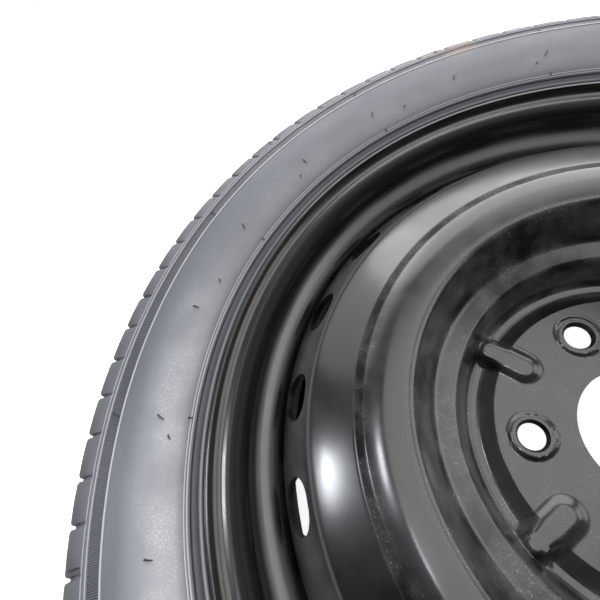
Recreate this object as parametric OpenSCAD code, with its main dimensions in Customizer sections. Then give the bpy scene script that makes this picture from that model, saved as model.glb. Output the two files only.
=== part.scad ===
// Space saver spare wheel: a narrow tyre on a pressed steel wheel with a snap-in tyre valve.
// The wheel's axis is Z, +Z is the outboard side, and the origin is the wheel's centre.

/* [Rim] */
// Diameter of the bead seats at the flanges
seat_d = 436.6; // [430:0.2:444]
// Width between the flanges
rim_w = 101.6; // [96:0.2:112]
// Thickness of the rolled rim sheet
rim_t = 2.4; // [2:0.1:3]
// Height of a flange above the bead seat
flange_h = 16.7; // [15:0.1:19]
// Radius of the outward curl of a flange
curl_r = 8.2; // [6.5:0.1:9.5]
// Straight lip past the curl
lip_l = 0.8; // [0.4:0.1:2]
// Width of a bead seat
seat_w = 17.9; // [16.5:0.1:19]
// Slope of a bead seat
seat_slope = 5; // [3:0.5:7]
// Depth of the drop centre below the bead seat
well_depth = 15.9; // [15:0.1:18]
// Length of the flat bottom of the drop centre
well_w = 29; // [26:0.5:34]
// Slope of the outboard ledge that carries the valve
ledge_slope = 34; // [31:0.5:37]
// Fillet between a bead seat and its flange
heel_r = 6.5; // [5:0.1:7]

/* [Disc] */
// Thickness of the pressed disc
disc_t = 4; // [3:0.1:5]
// Distance of the hub face from the wheel's centre plane
hub_offset = 23.3; // [18:0.1:30]
// Height of the crown's top above the wheel's centre plane
crown_z = 72.2; // [66:0.1:72.4]
// Radius where the crown starts to fall towards the rim
crown_out_r = 146; // [140:0.5:152]
// Radius where the crown starts to fall towards the hub
crown_in_r = 116; // [108:0.5:122]
// Width of the narrow groove pressed round the crown's outer edge
ring_groove_w = 5.5; // [4:0.1:6.5]
// Depth of that groove
ring_groove_depth = 1.3; // [0.8:0.1:1.6]
// Radius of the crease between the vent band and the crown
crease_r = 177.4; // [172:0.1:182]
// Drop from the crown's top to the crease
crease_drop = 20.4; // [16:0.1:26]
// Height of the corner between the disc's skirt and its vent band
skirt_top = 24.7; // [22:0.1:27]
// Length of the skirt that is pressed into the rim
skirt_l = 14; // [11:0.5:20]
// Outer radius of the moat round the hub pad
moat_out_r = 92; // [88:0.5:96]
// Inner radius of the moat round the hub pad
moat_in_r = 79; // [77:0.5:82]
// Depth of the moat below the hub pad
moat_depth = 5.3; // [3:0.1:7]
// Radius of the hub pad
pad_r = 74.2; // [71:0.1:76]

/* [Vents] */
// Number of vents in the vent band
vent_count = 20; // [10:1:22]
// Length of a vent along the band
vent_l = 29.5; // [22:0.5:34]
// Width of a vent across the band
vent_w = 25; // [12:0.5:26]
// Distance of a vent's centre from the skirt's corner, along the band
vent_up = 17; // [14:0.1:19]

/* [Hub] */
// Diameter of the centre bore
bore_d = 67.1; // [54:0.1:72]
// Diameter of the stud circle
stud_circle_d = 114.3; // [108:0.1:118]
// Number of stud holes
stud_count = 5; // [4:1:5]
// Diameter of a stud hole
stud_hole_d = 14.5; // [13:0.1:16]
// Angle of the nut seats
nut_seat_angle = 60; // [60:5:90]
// Depth of a nut seat
nut_seat_depth = 2.4; // [1.5:0.1:3]
// Diameter of the raised ring round a stud hole
boss_d = 25; // [23:0.5:28]
// Height of the raised ring round a stud hole
boss_h = 1.2; // [0.6:0.1:1.8]
// Radius of the ribs that are pressed across the moat
rib_r = 9; // [8:0.1:10]
// Height of a rib above the hub pad
rib_h = 2.4; // [1.6:0.1:3]
// Direction of the first rib
rib_az = 152; // [140:1:160]

/* [Welds] */
// Number of weld beads between the disc and the rim
weld_count = 8; // [4:1:12]
// Arc of one weld bead
weld_arc = 16; // [8:1:24]
// Leg of a weld bead
weld_leg = 3.4; // [2:0.1:3.8]

/* [Tyre] */
// Overall diameter of the tyre
tyre_d = 635; // [628:1:650]
// Width of the tyre's section
tyre_w = 145; // [144.8:0.2:152]
// Width of the tread
tread_w = 112; // [104:1:116]
// Depth of the tread grooves
groove_depth = 5; // [3:0.1:6]
// Width of the tread grooves
groove_w = 7.5; // [5:0.1:10]
// Distance of a side groove from the centre plane
groove_z = 25; // [20:0.5:28]
// Thickness from the tread's surface to the inside
tread_t = 12; // [10:0.5:14]
// Thickness of a sidewall
wall_t = 7.5; // [6:0.1:9]
// Height of the widest point above the bead seat
belly_h = 56; // [50:0.5:60]
// Height of the groove round the bead above the bead seat
clinch_h = 24.4; // [22:0.1:27]
// Distance of that groove from the flange's face
clinch_out = 10.3; // [9:0.1:12]
// Number of notches round each shoulder
notch_count = 82; // [60:1:90]
// Width of a shoulder notch
notch_w = 4; // [2:0.1:6]
// Depth of a shoulder notch
notch_depth = 3.6; // [2:0.1:4.6]
// Direction of the first notch
notch_az = 112.4; // [110:0.1:114]
// Height of the ribs on the sidewall
line_h = 0.5; // [0.3:0.1:1]

/* [Valve] */
// Direction of the valve
valve_az = 300; // [220:1:320]
// Diameter of the valve hole in the rim
valve_hole_d = 11.3; // [10.5:0.1:11.6]
// Diameter of the rubber foot inside the rim
foot_d = 14.2; // [13:0.1:14.4]
// Thickness of the rubber foot
foot_h = 4; // [3:0.1:5]
// Length of the stem outside the rim
stem_out = 22; // [21:0.5:26]
// Diameter of the stem's cap thread
stem_d = 7.7; // [7.5:0.1:8]
// Length of the bare thread under the cap
thread_l = 9.5; // [8:0.1:10]
// Outer diameter of the cap
cap_d = 9.6; // [9.2:0.1:11]
// Travel of the valve's pin when it is pressed
pin_travel = 1.5; // [1.2:0.1:1.6]

/* [Clearances] */
// Gap between the tyre's beads and the rim
bead_gap = 0.2; // [0.1:0.05:0.5]
// Gap between parts that are pressed or welded together
fit_gap = 0.05; // [0.02:0.01:0.08]
// Gap between the cap's thread and the stem's thread
thread_gap = 0.1; // [0.05:0.01:0.2]

/* [Hidden] */
$fn = 96;
arc_step = 12;
edge_r = 0.7;
well_end_fillet = 6;

// Rim values: flange faces, seats and drop centre
seat_r = seat_d / 2;
flange_r = seat_r + flange_h;
face_z = rim_w / 2;
tip_z = face_z + curl_r + lip_l;
seat_drop = seat_w * tan(seat_slope);
seat_in_r = seat_r - seat_drop;
seat_in_z = face_z - seat_w;
well_r = seat_r - well_depth;
ledge_z = seat_in_z - (seat_in_r - well_r) * tan(ledge_slope);
well_end_z = ledge_z - well_w;
well_in_r = well_r - rim_t;
well_fillet = 2;
ledge_fillet = 3.2;

// Disc values: hub pad, moat, vent band and skirt
pad_z = hub_offset + disc_t;
moat_z = pad_z - moat_depth;
crease_z = crown_z - crease_drop;
crown_slope = atan2(crease_drop, crease_r - crown_out_r);
crown_fillet = 38;
crown_centre_r = crown_out_r - crown_fillet * tan(crown_slope / 2);
crown_centre_z = crown_z - crown_fillet;
ring_groove_r = crown_out_r + 4.2;
ring_groove_to = asin((ring_groove_r - crown_centre_r) / crown_fillet);
ring_groove_from = asin((ring_groove_r - ring_groove_w - crown_centre_r) / crown_fillet);
ring_groove_wall = ring_groove_depth / crown_fillet * 180 / PI;
ring_groove_edge = 0.9;
skirt_r = well_in_r - fit_gap;
skirt_end = skirt_top - skirt_l;
band_slope = atan2(crease_z - skirt_top, skirt_r - crease_r);
stud_circle_r = stud_circle_d / 2;
rib_z = pad_z + rib_h - rib_r;
rib_in_r = pad_r - 10;
rib_out_r = moat_out_r - 8;
press_depth = 20;

// Tyre values: sidewall curve, shoulder, moulded lines and bead
tyre_r = tyre_d / 2;
belly_r = seat_r + belly_h;
belly_z = tyre_w / 2;
clinch_r = seat_r + clinch_h;
clinch_z = face_z + clinch_out;
clinch_w = 0.8;
clinch_depth = 0.8;
shoulder_drop = 3.1;
shoulder_out = 3.7;
shoulder_r = tyre_r - shoulder_drop;
shoulder_z = tread_w / 2 + shoulder_out;
tread_crown_r = 1200;
toe_gap = 0.6;
toe_z = seat_in_z + toe_gap;
liner_r = tyre_r - tread_t;
block_line_r = tyre_r - 17.4;
line_out_r = tyre_r - 20.6;
line_in_r = tyre_r - 31.9;
thin_line_w = 0.54;
line_w = 0.9;
band_edge = 1.2;
notch_foot = line_out_r + 1.4;
notch_foot_w = 6.6;
notch_end_z = groove_z + groove_w / 2 + 6;
notch_ramp = 3;

// Valve values: seat on the ledge and lengths along the stem, measured from the ledge's outer face
valve_on_ledge = (seat_in_r - well_r) / cos(ledge_slope) / 2 + rim_t * tan((90 - ledge_slope) / 2) / 2 + 0.25;
ledge_corner_z = ledge_z + rim_t * tan((90 - ledge_slope) / 2);
valve_r = well_in_r + valve_on_ledge * cos(ledge_slope);
valve_z = ledge_corner_z + valve_on_ledge * sin(ledge_slope);
stem_in_d = 6;
stem_wall_end = stem_out - thread_l;
stem_foot = -rim_t - foot_h - 1.5;
core_d = 5.2;
core_bore_d = 3.9;
core_seat_z = stem_out - 8;
plug_top = stem_out - 1.2;
plug_end = core_seat_z + 0.4;
spring_wire = 0.3;
spring_turns = 7;
spring_l = 1.5 * spring_turns * spring_wire + 2 * pin_travel;
barrel_top = plug_end - fit_gap;
barrel_d = core_bore_d - 0.4;
barrel_bore_d = 2.6;
barrel_lip = 0.8;
pin_d = 0.9;
pin_gap = 0.08;
pin_top = stem_out - 0.5;
stop_z = barrel_top - 2.4;
stop_d = barrel_bore_d - 0.3;
stop_h = 0.6;
barrel_end = stop_z - spring_l - barrel_lip;
seal_h = 0.8;
cup_h = 1.2;
seal_d = core_bore_d - 0.6;
cap_skirt = stem_wall_end + 0.5;
gasket_h = 1;
cap_top = stem_out + fit_gap + gasket_h + 1.4;

// Points along a list of corners [x, y, radius], each corner rounded with short straight steps
function unit(v) = v / norm(v);
function xy(p) = [p[0], p[1]];
function turn(a, b) = a[0] * b[1] - a[1] * b[0];
function corner(a, b, c) =
    let (
        u = unit(xy(a) - xy(b)),
        v = unit(xy(c) - xy(b)),
        half = acos(max(-1, min(1, u * v))) / 2
    )
    (b[2] == undef || b[2] <= 0 || half > 89.5) ? [xy(b)] :
    let (
        centre = xy(b) + unit(u + v) * b[2] / sin(half),
        from = xy(b) + u * b[2] / tan(half) - centre,
        sweep = (180 - 2 * half) * sign(turn(v, u)),
        steps = max(2, ceil(abs(sweep) / arc_step)),
        start = atan2(from[1], from[0])
    )
    [for (i = [0 : steps]) centre + b[2] * [cos(start + sweep * i / steps), sin(start + sweep * i / steps)]];
function rounded(p) =
    [for (i = [0 : len(p) - 1])
        each corner(p[(i + len(p) - 1) % len(p)], p[i], p[(i + 1) % len(p)])];

// The same corners moved sideways by a distance, positive to the left of the way along them
function left_of(d) = [-d[1], d[0]];
function side(p, i, d) =
    let (
        before = unit(xy(p[max(i, 1)]) - xy(p[max(i, 1) - 1])),
        after = unit(xy(p[min(i, len(p) - 2) + 1]) - xy(p[min(i, len(p) - 2)])),
        normal = left_of(before) + left_of(after),
        moved = xy(p[i]) + d * normal / (1 + before * after),
        bend = turn(before, after)
    )
    [moved[0], moved[1], (p[i][2] == undef || p[i][2] == 0) ? 0 : max(0.1, p[i][2] - d * sign(bend))];
function shifted(p, d) = [for (i = [0 : len(p) - 1]) side(p, i, d)];
function backwards(p) = [for (i = [len(p) - 1 : -1 : 0]) p[i]];
function edged(p) = [for (i = [0 : len(p) - 1]) (i == 0 || i == len(p) - 1) ? [p[i][0], p[i][1], edge_r] : p[i]];
function sheet(p, thickness) = rounded(concat(edged(p), backwards(edged(shifted(p, thickness)))));
function mirrored(p) = backwards([for (q = p) [q[0], -q[1], q[2]]]);

// Tyre side of the rim, from the outboard flange to the inboard one
flange_corners = [
    [flange_r, tip_z],
    [flange_r, face_z, curl_r],
    [seat_r, face_z, heel_r],
    [seat_in_r, seat_in_z, ledge_fillet]
];
rim_corners = concat(
    flange_corners,
    [[well_r, ledge_z, well_fillet], [well_r, well_end_z, well_end_fillet]],
    mirrored(flange_corners)
);

// Outboard side of the disc, from the end of its skirt to the centre bore
function crown_arc(angle, deep = 0, edge = 0) =
    [crown_centre_r + (crown_fillet - deep) * sin(angle), crown_centre_z + (crown_fillet - deep) * cos(angle), edge];
skirt_corners = [
    [skirt_r, skirt_end],
    [skirt_r, skirt_top, 7],
    [crease_r, crease_z, 6]
];
crown_corners = [
    crown_arc(crown_slope),
    crown_arc((crown_slope + ring_groove_to) / 2),
    crown_arc(ring_groove_to, 0, ring_groove_edge),
    crown_arc(ring_groove_to - ring_groove_wall, ring_groove_depth, ring_groove_edge),
    crown_arc(ring_groove_from + ring_groove_wall, ring_groove_depth, ring_groove_edge),
    crown_arc(ring_groove_from, 0, ring_groove_edge),
    crown_arc(ring_groove_from * 2 / 3),
    crown_arc(ring_groove_from / 3),
    crown_arc(0)
];
hub_corners = [
    [crown_in_r, crown_z, 17],
    [moat_out_r, moat_z, 7],
    [moat_in_r, moat_z, 3],
    [pad_r, pad_z, 2.5],
    [bore_d / 2, pad_z]
];
disc_corners = concat(skirt_corners, crown_corners, hub_corners);

// Tread radius and sidewall height at any place across the tyre
function tread_r(z) = tyre_r - z * z / (2 * tread_crown_r);
function wall_z(r) =
    r < belly_r ? belly_z - (belly_z - clinch_z) * pow((belly_r - r) / (belly_r - clinch_r), 2)
                : belly_z - (belly_z - shoulder_z) * pow((r - belly_r) / (shoulder_r - belly_r), 2);
function wall(r, lift = 0) = [r, wall_z(r) + lift];
function wall_run(r0, r1, steps, lift = 0) =
    [for (i = [0 : steps]) wall(r0 + (r1 - r0) * i / steps, lift)];
function wall_line(r, w, h) = [wall(r + w), wall(r + w / 2, h), wall(r - w / 2, h), wall(r - w)];

tread_half = [
    [tread_r(0) - groove_depth, groove_w / 2, 0.8],
    [tread_r(0), groove_w / 2],
    [tread_r(groove_z), groove_z - groove_w / 2],
    [tread_r(groove_z) - groove_depth, groove_z - groove_w / 2, 0.8],
    [tread_r(groove_z) - groove_depth, groove_z + groove_w / 2, 0.8],
    [tread_r(groove_z), groove_z + groove_w / 2],
    [tread_r(tread_w / 2), tread_w / 2, 2.5]
];
side_half = concat(
    wall_run(shoulder_r, block_line_r + 2, 4),
    wall_line(block_line_r, thin_line_w, line_h),
    wall_line(line_out_r, thin_line_w, line_h),
    [wall(line_out_r - band_edge, -line_h)],
    [wall(line_in_r + band_edge, -line_h)],
    wall_line(line_in_r, line_w, line_h),
    wall_run(line_in_r - 3, clinch_r + 6, 9),
    wall_line(clinch_r + 4 * clinch_w, thin_line_w, line_h),
    [wall(clinch_r + clinch_w), wall(clinch_r + clinch_w / 2, -clinch_depth)],
    [wall(clinch_r - clinch_w / 2, -clinch_depth), wall(clinch_r - clinch_w)],
    [wall(flange_r + bead_gap + 3.4, 0.2)],
    [[flange_r + bead_gap + 1.8, tip_z + 0.9, 0.6]]
);
bead_half = concat(
    [[flange_r + bead_gap, tip_z - 0.6, 0.4]],
    [for (i = [1 : 2]) side(flange_corners, i, bead_gap)],
    [[seat_r - (face_z - toe_z) * tan(seat_slope) + bead_gap, toe_z, 1.2]]
);
liner_half = [
    [seat_r + 3, toe_z - 0.1, 2],
    [clinch_r + 8, wall_z(clinch_r + 8) - wall_t, 20],
    [belly_r, belly_z - wall_t, 30],
    [liner_r - 8, wall_z(liner_r - 8) - wall_t, 10],
    [liner_r, shoulder_z - 10, 8]
];
tyre_half = concat(tread_half, side_half, bead_half, liner_half);

module ring(profile) { rotate_extrude() polygon(profile); }
module round_about(count, start = 0) {
    for (i = [0 : count - 1]) rotate([0, 0, start + i * 360 / count]) children();
}

// Cut of one shoulder notch, open outward and to the side
module notch() {
    floor_r = tread_r(tread_w / 2) - notch_depth;
    rotate([90, 0, 0])
        linear_extrude(notch_w, center = true)
            polygon([
                wall(notch_foot),
                wall(notch_foot + notch_foot_w, -notch_depth * 0.6),
                [floor_r, shoulder_z - 6],
                [floor_r + 0.6, notch_end_z + notch_ramp],
                [tyre_r + 5, notch_end_z],
                [tyre_r + 5, belly_z + 5],
                [notch_foot, belly_z + 5]
            ]);
}

// Tyre: a narrow tyre with three plain grooves, notched shoulders and moulded lines on its walls
module tyre() {
    color([0.17, 0.18, 0.2])
        difference() {
            ring(rounded(concat(tyre_half, mirrored(tyre_half))));
            round_about(notch_count, notch_az) notch();
            round_about(notch_count, notch_az) mirror([0, 0, 1]) notch();
        }
}

// Puts a child on the valve's axis, with its origin on the ledge's outer face
module at_valve() {
    rotate([0, 0, valve_az])
        translate([valve_r, 0, valve_z])
            rotate([0, -ledge_slope, 0])
                children();
}
module turned(points) { at_valve() rotate_extrude($fn = 48) polygon(points); }
module rod(d, z0, z1) { at_valve() translate([0, 0, z0]) cylinder(d = d, h = z1 - z0, $fn = 48); }

// Rim: rolled sheet with two flanges, two bead seats and a drop centre
module rim() {
    color([0.1, 0.1, 0.11])
        difference() {
            ring(sheet(rim_corners, -rim_t));
            rod(valve_hole_d, -rim_t - 6, 6);
        }
}

// Vent: an oval hole, square to the vent band
module vent() {
    half = (vent_l - vent_w) / 2;
    translate([skirt_r, 0, skirt_top])
        rotate([0, band_slope, 0])
            translate([-vent_up, 0, -disc_t * 2]) {
                for (s = [-1, 1]) translate([0, s * half, 0]) cylinder(d = vent_w, h = disc_t * 4);
                translate([-vent_w / 2, -half, 0]) cube([vent_w, 2 * half, disc_t * 4]);
            }
}

// Rib: a rod with round ends that lies outward along X, kept where it stands over the sheet
module rib_rod() {
    length = rib_out_r - rib_in_r + 2 * rib_r;
    translate([rib_in_r - rib_r, 0, rib_z])
        rotate([0, 90, 0])
            ring(rounded([
                [0, 0],
                [rib_r, 0, rib_r - 0.01],
                [rib_r, length, rib_r - 0.01],
                [0, length]
            ]));
}
module over_disc() {
    last = len(disc_corners) - 1;
    first = last - len(hub_corners) + 1;
    middle = [for (i = [first : last]) xy(side(disc_corners, i, disc_t / 2))];
    ring(concat(middle, [[0, pad_z - disc_t / 2], [0, crown_z + press_depth], [crown_in_r, crown_z + press_depth]]));
}

// Hollow of a rib, open to the inboard side
module rib_hollow() {
    r = rib_r - disc_t;
    translate([rib_in_r, 0, rib_z])
        rotate([90, 0, 90])
            linear_extrude(rib_out_r - rib_in_r)
                polygon(rounded([[-r, -press_depth], [-r, r, r - 0.01], [r, r, r - 0.01], [r, -press_depth]]));
}

// Stud hole with its nut seat on the outboard side
module stud_hole() {
    r = stud_hole_d / 2;
    top = pad_z + boss_h;
    seat_r2 = r + (nut_seat_depth + 1) * tan(nut_seat_angle / 2);
    translate([stud_circle_r, 0, 0])
        ring([[0, hub_offset - 1], [r, hub_offset - 1], [r, top - nut_seat_depth], [seat_r2, top + 1], [0, top + 1]]);
}

// Disc: pressed sheet with a skirt, a vent band, a crown, a moat and a hub pad
module disc() {
    color([0.13, 0.13, 0.14])
        difference() {
            union() {
                ring(sheet(disc_corners, disc_t));
                round_about(stud_count, rib_az) intersection() {
                    rib_rod();
                    over_disc();
                }
                round_about(stud_count, rib_az + 180 / stud_count)
                    translate([stud_circle_r, 0, pad_z - 1])
                        cylinder(d = boss_d, h = boss_h + 1);
            }
            round_about(stud_count, rib_az) rib_hollow();
            round_about(stud_count, rib_az + 180 / stud_count) stud_hole();
            round_about(vent_count) vent();
        }
}

// Weld beads: arcs in the corner between the skirt's end and the rim
module weld_beads() {
    r = well_in_r - fit_gap;
    z = skirt_end - fit_gap;
    color([0.2, 0.2, 0.21])
        round_about(weld_count)
            rotate([0, 0, -weld_arc / 2])
                rotate_extrude(angle = weld_arc)
                    polygon([[r, z], [r - weld_leg, z], [r - weld_leg * 0.45, z - weld_leg * 0.7], [r, z - weld_leg]]);
}

// Valve body: rubber with a foot inside the rim, a neck in the hole and a tapered outer part
module valve_body() {
    color([0.08, 0.08, 0.08])
        turned([
            [stem_in_d / 2 + fit_gap, -rim_t - foot_h],
            [foot_d / 2 - 1.5, -rim_t - foot_h],
            [foot_d / 2, -rim_t - foot_h + 1.5],
            [foot_d / 2, -rim_t - fit_gap],
            [valve_hole_d / 2 - fit_gap, -rim_t - fit_gap],
            [valve_hole_d / 2 - fit_gap, fit_gap],
            [foot_d / 2 - 0.2, fit_gap],
            [foot_d / 2 - 0.2, 1.6],
            [foot_d / 2 - 1.2, 3.4],
            [stem_d / 2 + 1.3, 5.5],
            [stem_d / 2 + 1, stem_wall_end - 1],
            [stem_d / 2 + 0.4, stem_wall_end],
            [stem_in_d / 2 + fit_gap, stem_wall_end]
        ]);
}

// Valve stem: brass tube with the cap's thread outside and the core's thread and seat inside
module valve_stem() {
    color([0.78, 0.62, 0.3])
        turned([
            [core_bore_d / 2, stem_foot],
            [stem_in_d / 2, stem_foot],
            [stem_in_d / 2, stem_wall_end + fit_gap],
            [stem_d / 2 - 0.5, stem_wall_end + fit_gap],
            [stem_d / 2, stem_wall_end + 0.6],
            [stem_d / 2, stem_out - 0.6],
            [stem_d / 2 - 0.6, stem_out],
            [core_d / 2 + fit_gap + 0.2, stem_out],
            [core_d / 2 + fit_gap, stem_out - 0.3],
            [core_d / 2 + fit_gap, core_seat_z],
            [core_bore_d / 2, core_seat_z - 2]
        ]);
}

// Core plug: the threaded head of the valve core, with two flats for the core tool
module core_plug() {
    color([0.8, 0.66, 0.36])
        difference() {
            rod(core_d, plug_end, plug_top);
            rod(pin_d + 2 * pin_gap, plug_end - 1, plug_top + 1);
            at_valve() for (s = [-1, 1])
                translate([s * (core_d / 2 + 1.1) - core_d / 2, -core_d, plug_top - 1.8])
                    cube([core_d, 2 * core_d, 4]);
        }
}

// Core barrel: the tube under the plug, which guides the pin and ends in the seal's seat
module core_barrel() {
    color([0.8, 0.66, 0.36])
        turned([
            [pin_d / 2 + 0.3, barrel_end],
            [barrel_d / 2 - 0.3, barrel_end],
            [barrel_d / 2, barrel_end + 0.4],
            [barrel_d / 2, core_seat_z - 1.9],
            [barrel_d / 2 - 0.3, core_seat_z - 1.7],
            [barrel_d / 2 - 0.3, core_seat_z - 0.2],
            [barrel_d / 2 + 0.4, core_seat_z],
            [barrel_d / 2 + 0.4, barrel_top],
            [barrel_bore_d / 2, barrel_top],
            [barrel_bore_d / 2, barrel_end + barrel_lip],
            [pin_d / 2 + 0.3, barrel_end + barrel_lip]
        ]);
}

// Core gasket: the sealing ring between the barrel and the stem's tapered seat
module core_gasket() {
    color([0.75, 0.2, 0.15])
        turned([
            [barrel_d / 2 - 0.3 + fit_gap, core_seat_z - 1.6],
            [core_bore_d / 2 + 0.1, core_seat_z - 1.6],
            [core_d / 2 - 0.25, core_seat_z - 0.3],
            [barrel_d / 2 - 0.3 + fit_gap, core_seat_z - 0.3]
        ]);
}

// Core spring: a small coil between the barrel's lip and the pin's stop
module core_spring() {
    z0 = barrel_end + barrel_lip + spring_wire / 2 + fit_gap;
    z1 = stop_z - spring_wire / 2 - fit_gap;
    coil_r = barrel_bore_d / 2 - spring_wire / 2 - 0.15;
    sides = 6;
    per_turn = 14;
    rings = spring_turns * per_turn;
    points = [for (i = [0 : rings], j = [0 : sides - 1])
        let (a = 360 * i / per_turn, b = 360 * j / sides, r = coil_r + spring_wire / 2 * cos(b))
        [r * cos(a), r * sin(a), z0 + (z1 - z0) * i / rings + spring_wire / 2 * sin(b)]];
    tube = [for (i = [0 : rings - 1], j = [0 : sides - 1])
        let (k = (j + 1) % sides)
        [i * sides + j, i * sides + k, (i + 1) * sides + k, (i + 1) * sides + j]];
    first_end = [for (j = [sides - 1 : -1 : 0]) j];
    last_end = [for (j = [0 : sides - 1]) rings * sides + j];
    color([0.7, 0.7, 0.72])
        at_valve() polyhedron(points, concat(tube, [first_end, last_end]), convexity = 10);
}

// Core pin: the rod that is pressed to let air through, with the stop that holds its spring
module core_pin() {
    color([0.75, 0.75, 0.76])
        turned([
            [0, barrel_end - seal_h - cup_h],
            [pin_d / 2, barrel_end - seal_h - cup_h],
            [pin_d / 2, stop_z],
            [stop_d / 2, stop_z],
            [stop_d / 2, stop_z + stop_h],
            [pin_d / 2, stop_z + stop_h],
            [pin_d / 2, pin_top - 0.2],
            [pin_d / 2 - 0.2, pin_top],
            [0, pin_top]
        ]);
}

// Core cup: the small brass cup at the pin's lower end, which backs the seal
module core_cup() {
    color([0.8, 0.66, 0.36])
        turned([
            [pin_d / 2 + fit_gap, barrel_end - seal_h - cup_h],
            [seal_d / 2 - 0.3, barrel_end - seal_h - cup_h],
            [seal_d / 2, barrel_end - seal_h - cup_h + 0.3],
            [seal_d / 2, barrel_end - seal_h - fit_gap],
            [pin_d / 2 + fit_gap, barrel_end - seal_h - fit_gap]
        ]);
}

// Core seal: the rubber washer that closes the barrel's lower end
module core_seal() {
    color([0.1, 0.1, 0.1])
        turned([
            [pin_d / 2 + fit_gap, barrel_end - seal_h],
            [seal_d / 2 - 0.2, barrel_end - seal_h],
            [seal_d / 2 - 0.2, barrel_end - fit_gap],
            [pin_d / 2 + fit_gap, barrel_end - fit_gap]
        ]);
}

// Valve cap: moulded cap with grip ridges, screwed on the stem
module valve_cap() {
    color([0.12, 0.12, 0.12])
        difference() {
            turned([
                [0, cap_skirt],
                [cap_d / 2 - 0.5, cap_skirt],
                [cap_d / 2, cap_skirt + 0.5],
                [cap_d / 2, cap_top - 1.8],
                [cap_d / 2 - 1.2, cap_top],
                [0, cap_top]
            ]);
            rod(stem_d + 2 * thread_gap, cap_skirt - 1, stem_out + fit_gap + gasket_h);
            at_valve() round_about(12)
                translate([cap_d / 2 + 0.35, 0, cap_skirt + 3])
                    cylinder(r = 0.7, h = cap_top, $fn = 24);
        }
}

// Cap gasket: the rubber washer in the cap that seals on the stem's mouth
module cap_gasket() {
    color([0.15, 0.15, 0.15])
        turned([
            [1.2, stem_out + fit_gap],
            [stem_d / 2, stem_out + fit_gap],
            [stem_d / 2, stem_out + gasket_h],
            [1.2, stem_out + gasket_h]
        ]);
}

tyre();
rim();
disc();
weld_beads();
valve_body();
valve_stem();
core_plug();
core_barrel();
core_gasket();
core_spring();
core_pin();
core_cup();
core_seal();
valve_cap();
cap_gasket();
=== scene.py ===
"""Space saver spare wheel: a narrow tyre on a black pressed steel wheel, on a white floor."""

import math
import random

import bpy
from mathutils import Matrix, Vector


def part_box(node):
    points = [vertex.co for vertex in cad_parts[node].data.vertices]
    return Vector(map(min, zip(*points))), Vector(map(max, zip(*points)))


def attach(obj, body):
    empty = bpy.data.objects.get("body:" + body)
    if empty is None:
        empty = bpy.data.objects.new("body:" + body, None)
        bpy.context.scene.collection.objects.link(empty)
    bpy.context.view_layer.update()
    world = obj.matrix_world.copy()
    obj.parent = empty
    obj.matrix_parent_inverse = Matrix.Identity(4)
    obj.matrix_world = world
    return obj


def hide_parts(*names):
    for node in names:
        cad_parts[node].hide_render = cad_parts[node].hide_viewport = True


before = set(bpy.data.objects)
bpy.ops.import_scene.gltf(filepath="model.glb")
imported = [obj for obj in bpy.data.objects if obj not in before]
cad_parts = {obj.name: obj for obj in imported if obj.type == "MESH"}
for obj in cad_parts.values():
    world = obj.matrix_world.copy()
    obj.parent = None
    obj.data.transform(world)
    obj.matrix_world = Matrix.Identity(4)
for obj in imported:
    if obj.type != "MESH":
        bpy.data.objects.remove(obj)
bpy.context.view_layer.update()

# Camera: a phone held close over the disc, tilted towards the upper left of the wheel, so that the
# vents and a quarter of the tyre fill the picture. The shift puts the lens's centre where it was.
MM = 0.001
picture_px = 600
focal_px = 412.1
sensor_mm = 36
centre_px = (301.05, 276.71)
nearest_mm = 10
phone_at = (-118.14, -55.29, 289.05)
phone_turned = (30.30, 13.53, 7.79)
bpy.ops.object.camera_add(
    location=[v * MM for v in phone_at],
    rotation=[math.radians(v) for v in phone_turned],
)
camera = bpy.context.object
camera.data.sensor_width = sensor_mm
camera.data.lens = sensor_mm * focal_px / picture_px
camera.data.shift_x = (picture_px / 2 - centre_px[0]) / picture_px
camera.data.shift_y = (centre_px[1] - picture_px / 2) / picture_px
camera.data.clip_start = nearest_mm * MM
bpy.context.scene.camera = camera
bpy.context.scene.view_settings.view_transform = "Standard"


# Rim: one strip of steel sheet, rolled to a ring with two curled flanges, two sloping bead seats and
# a drop centre. Dipped and painted black with the disc, after the two are welded.
def rounded(corners, step=5):
    """The points along corners (r, z, fillet radius), with each fillet as an arc in short steps."""
    points = []
    for i, corner in enumerate(corners):
        here = Vector(corner[:2])
        if len(corner) < 3 or i in (0, len(corners) - 1):
            points.append(here)
            continue
        back = (Vector(corners[i - 1][:2]) - here).normalized()
        on = (Vector(corners[i + 1][:2]) - here).normalized()
        half = back.angle(on) / 2
        centre = here + (back + on).normalized() * corner[2] / math.sin(half)
        start = here + back * corner[2] / math.tan(half) - centre
        sweep = math.copysign(math.pi - 2 * half, back.y * on.x - back.x * on.y)
        count = max(2, math.ceil(math.degrees(abs(sweep)) / step))
        points += [centre + Matrix.Rotation(sweep * k / count, 2) @ start for k in range(count + 1)]
    return points


def divided(points, longest):
    """The same line with no stretch longer than a length."""
    line = [points[0]]
    for a, b in zip(points, points[1:]):
        count = max(1, math.ceil((b - a).length / longest))
        line += [a.lerp(b, k / count) for k in range(1, count + 1)]
    return line


def chosen(*pieces):
    """Selects some pieces and nothing else, and makes the last one active."""
    bpy.ops.object.select_all(action="DESELECT")
    for piece in pieces:
        piece.select_set(True)
    bpy.context.view_layer.objects.active = pieces[-1]


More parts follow.
